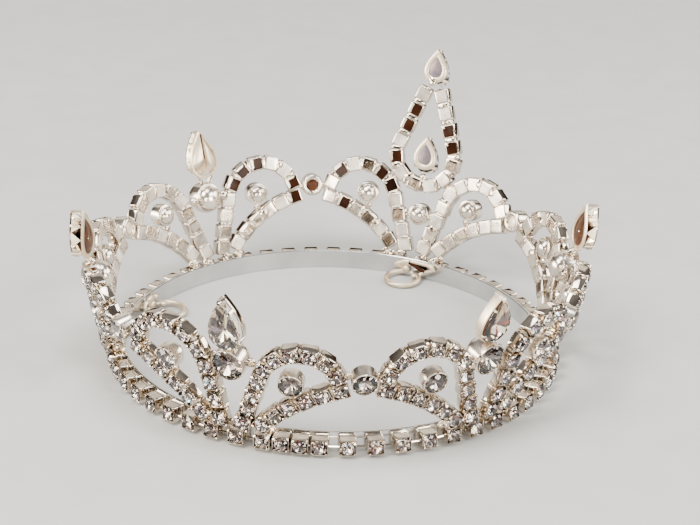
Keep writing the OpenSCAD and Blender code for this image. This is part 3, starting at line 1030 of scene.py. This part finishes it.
def make_sector(k):
    """A sector's two arches and two lower chains, its connector and its two buds."""
    line, tag = sector_line(k), k + 1
    arches = hand_set(chain_places(line, sector_arches(k), range(ARCH_N)), TILT_SEEDS["arch"] + tag)
    lowers = chain_places(line, [lower_path()] * 2, range(LOWER_N))
    lowers = hand_set(lowers, TILT_SEEDS["lower"] + tag)
    cup_pile(arches, CUP_D, tones=ARCH_PAINTED_TONES.get(tag)).metalwork(f"arch_cups_{tag}", SILVER)
    cup_pile(lowers, CUP_D, tones=LOWER_PAINTED_TONES.get(tag)).metalwork(f"lower_cups_{tag}", SILVER)
    chain_stones(arches, CUP_D, f"arch_stones_cut_{tag}", CHAIN_SEEDS["arch"] + tag,
                 f"arch_stones_{tag}")
    chain_stones(lowers, CUP_D, f"lower_stones_cut_{tag}", CHAIN_SEEDS["lower"] + tag)
    make_round(f"connector_{tag}", on_wall(line, CONNECTOR_AT), ROUND_D, CONNECTOR_DEEP,
               STONE_SEEDS["connector"] + tag, f"connector_stone_{tag}",
               coat=LACQUER_AND_SHADE if tag == 1 else PLATED)
    for j, side in enumerate((-1, 1)):
        number = 2 * k + j + 1
        make_round(f"bud_{number}", on_wall(line, (side * BUD_AT[0], BUD_AT[1])), ROUND_D, BUD_DEEP,
                   STONE_SEEDS["bud"] + number, f"bud_stone_{number}", BUD_DOME)


def make_finial(k):
    """A large round in a V, and the pear that stands on it."""
    make_round(f"large_{k}", on_wall(v_line(k), LARGE_AT, 0, ROUND_IN[k]), LARGE_D, LARGE_DEEP,
               STONE_SEEDS["large"] + k, f"large_stone_{k}", LARGE_DOME)
    make_pear(f"finial_{k}", on_finial(k), PEAR_W, PEAR_H, PEAR_DEEP, STONE_SEEDS["finial"] + k,
              f"finial_stone_{k}", FINIAL_BACKS[k])


def make_peak():
    """The tall loop of cups, the round under it, and the drops in it and on its point."""
    loop = chain_places(0, [peak_path()] * 2, [k + 0.5 for k in range(PEAK_N // 2)])
    places = hand_set(loop, TILT_SEEDS["peak"])
    cup_pile(places, CUP_D, tones=PEAK_PAINTED_TONES).metalwork("peak_cups", SILVER)
    chain_stones(places, CUP_D, "peak_stones_cut", CHAIN_SEEDS["peak"], "peak_stones")
    make_round("front_round", on_wall(0, FRONT_ROUND_AT), ROUND_D, FRONT_ROUND_DEEP,
               STONE_SEEDS["front_round"], "front_round_stone", BUD_DOME)
    for name, at in (("inner_drop", INNER_DROP_AT), ("top_drop", TOP_DROP_AT)):
        make_pear(name, on_wall(0, at), DROP_W, DROP_H, DROP_DEEP, STONE_SEEDS[name],
                  name + "_stone", "plate")


def solder_chains(joints, lumps):
    """Bars of solder between the cups, with a lump on some of them."""
    runs = []
    for k in range(SECTORS):
        for paths, cups in ((sector_arches(k), ARCH_N), ([lower_path()] * 2, LOWER_N)):
            runs.append((sector_line(k), paths, [j + 0.5 for j in range(cups - 1)]))
    runs.append((0, [peak_path()] * 2, range(PEAK_N // 2)))
    for line, paths, steps in runs:
        joint = joint_shape(max(max(pitch for _, pitch in paths) - CUP_W, 0))
        for place in chain_places(line, paths, steps):
            joints.add(joint, place, rng.uniform(0.36, 0.62))
            if rng.random() < LUMP_SHARE:
                lump = blob(rng.uniform(1.1, 1.7), 0.32)
                across, along = rng.uniform(-0.9, 0.9), rng.uniform(-0.6, 0.6)
                lumps.add(lump, place @ shift(across, -0.2, along))


def solder_sector(k, lumps):
    """Lumps at the feet of a sector's chains, beside its connector and under its buds."""
    line = sector_line(k)
    for side in (-1, 1):
        for foot in (ARCH_FOOT, LOWER_FOOT):
            angle = round_angle(line, (side * foot[0], foot[1]))
            for j in range(3):
                lump = blob(rng.uniform(1.0, 1.7))
                aside, high = rng.uniform(-1.2, 1.2), rng.uniform(-0.2, 0.5)
                out = BAND_R + 0.3 + 1.1 * j
                lumps.add(lump, turn("z", angle + aside) @ shift(0, -out, BAND_H + high))
    for side in (-1, 1):
        beside = (side * (ROUND_D / 2 + 0.9), CONNECTOR_AT[1])
        below = (side * BUD_AT[0], BUD_AT[1] - 4.4)
        lumps.add(blob(1.5), on_wall(line, beside, 0, -1.2))
        lumps.add(blob(1.3), on_wall(line, below, 0, -1.2))


def solder_finial(k, lumps):
    """Lumps beside a finial's round, and the stem of solder that carries its pear."""
    for side in (-1, 1):
        beside = (side * (LARGE_D / 2 + 0.9), LARGE_AT[1])
        lumps.add(blob(1.6), on_wall(v_line(k), beside, 0, ROUND_IN[k] / 2))
    top = (on_wall(v_line(k), LARGE_AT, 0, ROUND_IN[k]) @ (0, -2.2, LARGE_D / 2 - 0.5, 1))[:3]
    if FINIAL_BACKS[k] == "fold":
        for side in (-1, 1):
            hip = (on_finial(k) @ (side * 2.9, -1.2, 2.2, 1))[:3]
            knee = (on_finial(k) @ (side * 2.0, -1.4, -0.4, 1))[:3]
            leg = [hip, (hip + knee) / 2 + (0, 0, 0.1), knee, top + (side * 0.9, 0, 0)]
            lumps.add(tube(leg, 0.62), np.eye(4))
    else:
        foot = (on_finial(k) @ (0, -2.0, 0.7, 1))[:3]
        stem = [top, top * 0.6 + foot * 0.4, top * 0.3 + foot * 0.7, foot]
        lumps.add(tube(stem, 1.15), np.eye(4))
        lumps.add(blob(1.4), shift(*top))


def solder_peak(lumps):
    """Lumps round the peak's drops and its round."""
    for place in ((0, 27.4), (-10.2, 25.6), (10.2, 25.6), (-2.2, 57.2), (2.2, 57.2), (-4.6, 14.4),
                  (4.6, 14.4)):
        lumps.add(blob(1.4), on_wall(0, place, 0, -1.2))
    lumps.add(blob(1.5, 0.5), on_wall(0, (0.7, 60.4), 0, 0.1))


def make_solder():
    """Solder between the cups, at the feet and round the settings."""
    joints, lumps = Pile(), Pile()
    solder_chains(joints, lumps)
    joints.metalwork("joint_solder", SOLDER)
    for k in range(SECTORS):
        solder_sector(k, lumps)
    for k in range(1, SECTORS):
        solder_finial(k, lumps)
    solder_peak(lumps)
    lumps.metalwork("lump_solder", SOLDER)


def make_hair_loop(name, angle, curled=False):
    """Wire bent to a low eye, one end flattened, and one curled up or bent back along the band."""
    r, at = (EYE_D - WIRE_D) / 2, turn("z", angle)
    wall = -BAND_R + BAND_T
    # Depths of the eye's middle and of the ends, and the height of the ends
    mid, near, ends = wall + r + WIRE_D / 2 - 0.3, wall + WIRE_D / 2 - 0.1, BAND_H - 1.6
    eye = [(r * cos(a), mid + r * sin(a), EYE_UP - 0.25 * sin(a))
           for a in np.radians(np.linspace(-76, 256, 60))]
    pile = Pile().add(tube(eye, EYE_WIRE / 2, 16), at)
    # The flattened end, and solder where the eye leaves the band
    pile.add(bead(2.9, 0.7, 1.6, 18, 10), at @ shift(1.9, near - 0.1, ends - 0.5) @ turn("y", 14))
    pile.add(bead(1.5, 0.9, 1.4, 16, 9), at @ shift(0.9, near + 0.3, EYE_UP + 1.2))

    def along(*path):
        """Path of [x, distance off the wall, z] places, bent to the band."""
        return [(x, near + off + x * x / BAND_R / 2, z) for x, off, z in path]

    if curled:
        curl = [(5.2 + 1.6 * cos(a), 0.4, 3.6 + 1.6 * sin(a)) for a in np.linspace(-2.4, 3.4, 18)]
        pile.add(tube(along(*curl), 0.6), at)
        pile.add(bead(1.2, 0.8, 0.9, 16, 9), at @ shift(-1.6, near, ends - 0.3))
    else:
        # The end that runs under the flattened one is painted dark brown, a painted shade
        under = along((-0.2, 0.1, 5.3), (-2.6, 0.3, 4.4), (-4.6, 0.5, 3.6), (-6.4, 0.6, 2.9))
        pile.add(tube(under, 0.62), at, 0.13)
        bent_back = along((-4.6, 1.2, 1.9), (-5.6, 0.7, 2.5), (-7.2, 0.3, 3.3), (-8.6, 0.2, 3.9),
                          (-9.5, 0.3, 4.5), (-9.1, 0.2, 5.2), (-7.4, 0, 5.5), (-4.0, 0, 5.6),
                          (-0.8, 0, 5.8))
        pile.add(tube(bent_back, 0.68, 16), at)
    pile.add(bead(1.1, 1.3, 0.85, 16, 9), at @ shift(-2.9, near + 1.9, EYE_UP + 0.3))
    pile.metalwork(name, SATIN)


# Stage: camera, floor and light

# Half the floor's width, and the height that the lamps look at, in metres
FLOOR_HALF = 1.3
LAMP_AIM = 0.03


def make_camera():
    """Camera at the photograph's view, from its fit to the band and the base chain."""
    # Away and aside are in band radii from the middle of the band's top, the rest in degrees
    away, aside, rise, turned = 8.602, -0.082, 25.43, 156.20
    tilt, pan, roll = 23.24, 1.12, 1.84
    # Focal length in pixels of a picture of that width
    lens_px, width_px, sensor = 1800, 700, 36.0
    far, high = away * cos(radians(rise)), away * sin(radians(rise))
    stand = shift(aside * BAND_R, -far * BAND_R, high * BAND_R + BAND_H)
    m = turn("z", -turned) @ stand @ turn("z", -pan) @ turn("x", 90 - tilt) @ turn("z", roll)
    m[:3, 3] *= MM
    data = bpy.data.cameras.new("camera")
    data.sensor_width = sensor
    data.lens = lens_px * sensor / width_px
    data.clip_start, data.clip_end = 0.01, 20
    camera = new_object("camera", data)
    camera.matrix_world = Matrix(m)
    bpy.context.scene.camera = camera


def make_floor():
    square = ((-1, -1), (1, -1), (1, 1), (-1, 1))
    corners = [(x * FLOOR_HALF, y * FLOOR_HALF, 0) for x, y in square]
    mesh = bpy.data.meshes.new("floor")
    mesh.from_pydata(corners, [], [(0, 1, 2, 3)])
    mesh.materials.append(clouded("pale_floor", 60.0, 5.0, (0.45, 0.45, 0.445),
                                  (0.485, 0.485, 0.477), Roughness=0.6))
    floor = new_object("floor", mesh)


def make_lamp(name, azimuth, elevation, distance, size, power, colour):
    """Soft box that looks at the crown from an azimuth and an elevation."""
    data = bpy.data.lights.new(name, "AREA")
    data.shape = "RECTANGLE"
    data.size, data.size_y = size
    data.energy = power
    data.color = colour
    way = turn("z", azimuth) @ turn("x", 90 - elevation)
    new_object(name, data).matrix_world = Matrix(shift(0, 0, LAMP_AIM) @ way @ shift(0, 0, distance))


def make_lights():
    """Soft boxes, each with its angles, its distance and size in metres, and its power."""
    warm = (1.0, 0.93, 0.82)
    make_lamp("key", 154, 52, 1.1, (0.5, 0.4), 18, (1.0, 0.95, 0.88))
    make_lamp("fill", 266, 40, 1.2, (0.5, 0.4), 10, (0.96, 0.98, 1.0))
    make_lamp("rim", 24, 32, 1.2, (1.5, 0.9), 6, warm)
    make_lamp("overhead", 204, 84, 1.3, (0.5, 0.5), 12, (1.0, 1.0, 1.0))
    make_lamp("low_right", 122, 10, 1.0, (0.84, 0.32), 20, warm)
    make_lamp("low_front", 204, 9, 1.0, (0.26, 0.24), 7, warm)
    make_lamp("low_left", 248, 9, 1.0, (0.34, 0.28), 10, warm)
    make_lamp("side", 304, 24, 1.1, (0.6, 0.4), 10, warm)


def make_world():
    """Studio that is dark at the horizon and pale overhead."""
    world = bpy.data.worlds.new("studio")
    bpy.context.scene.world = world
    world.use_nodes = True
    tree = world.node_tree
    way = add_node(tree, "ShaderNodeTexCoord").outputs["Generated"]
    height = add_node(tree, "ShaderNodeSeparateXYZ", {"Vector": way}).outputs["Z"]
    colour = ramp(tree, height, [(0.0, (0.040, 0.024, 0.016)), (0.22, (0.070, 0.048, 0.036)),
                                 (0.50, (0.20, 0.185, 0.175)), (1.0, (0.46, 0.455, 0.45))])
    wire(tree, tree.nodes["Background"], {"Color": colour}, Strength=0.9)


make_camera()
make_band()
make_base()
for sector in range(SECTORS):
    make_sector(sector)
for v in range(1, SECTORS):
    make_finial(v)
make_peak()
make_solder()
make_hair_loop("hair_loop_front", 0)
make_hair_loop("hair_loop_side", 90, curled=True)

make_floor()
make_lights()
make_world()
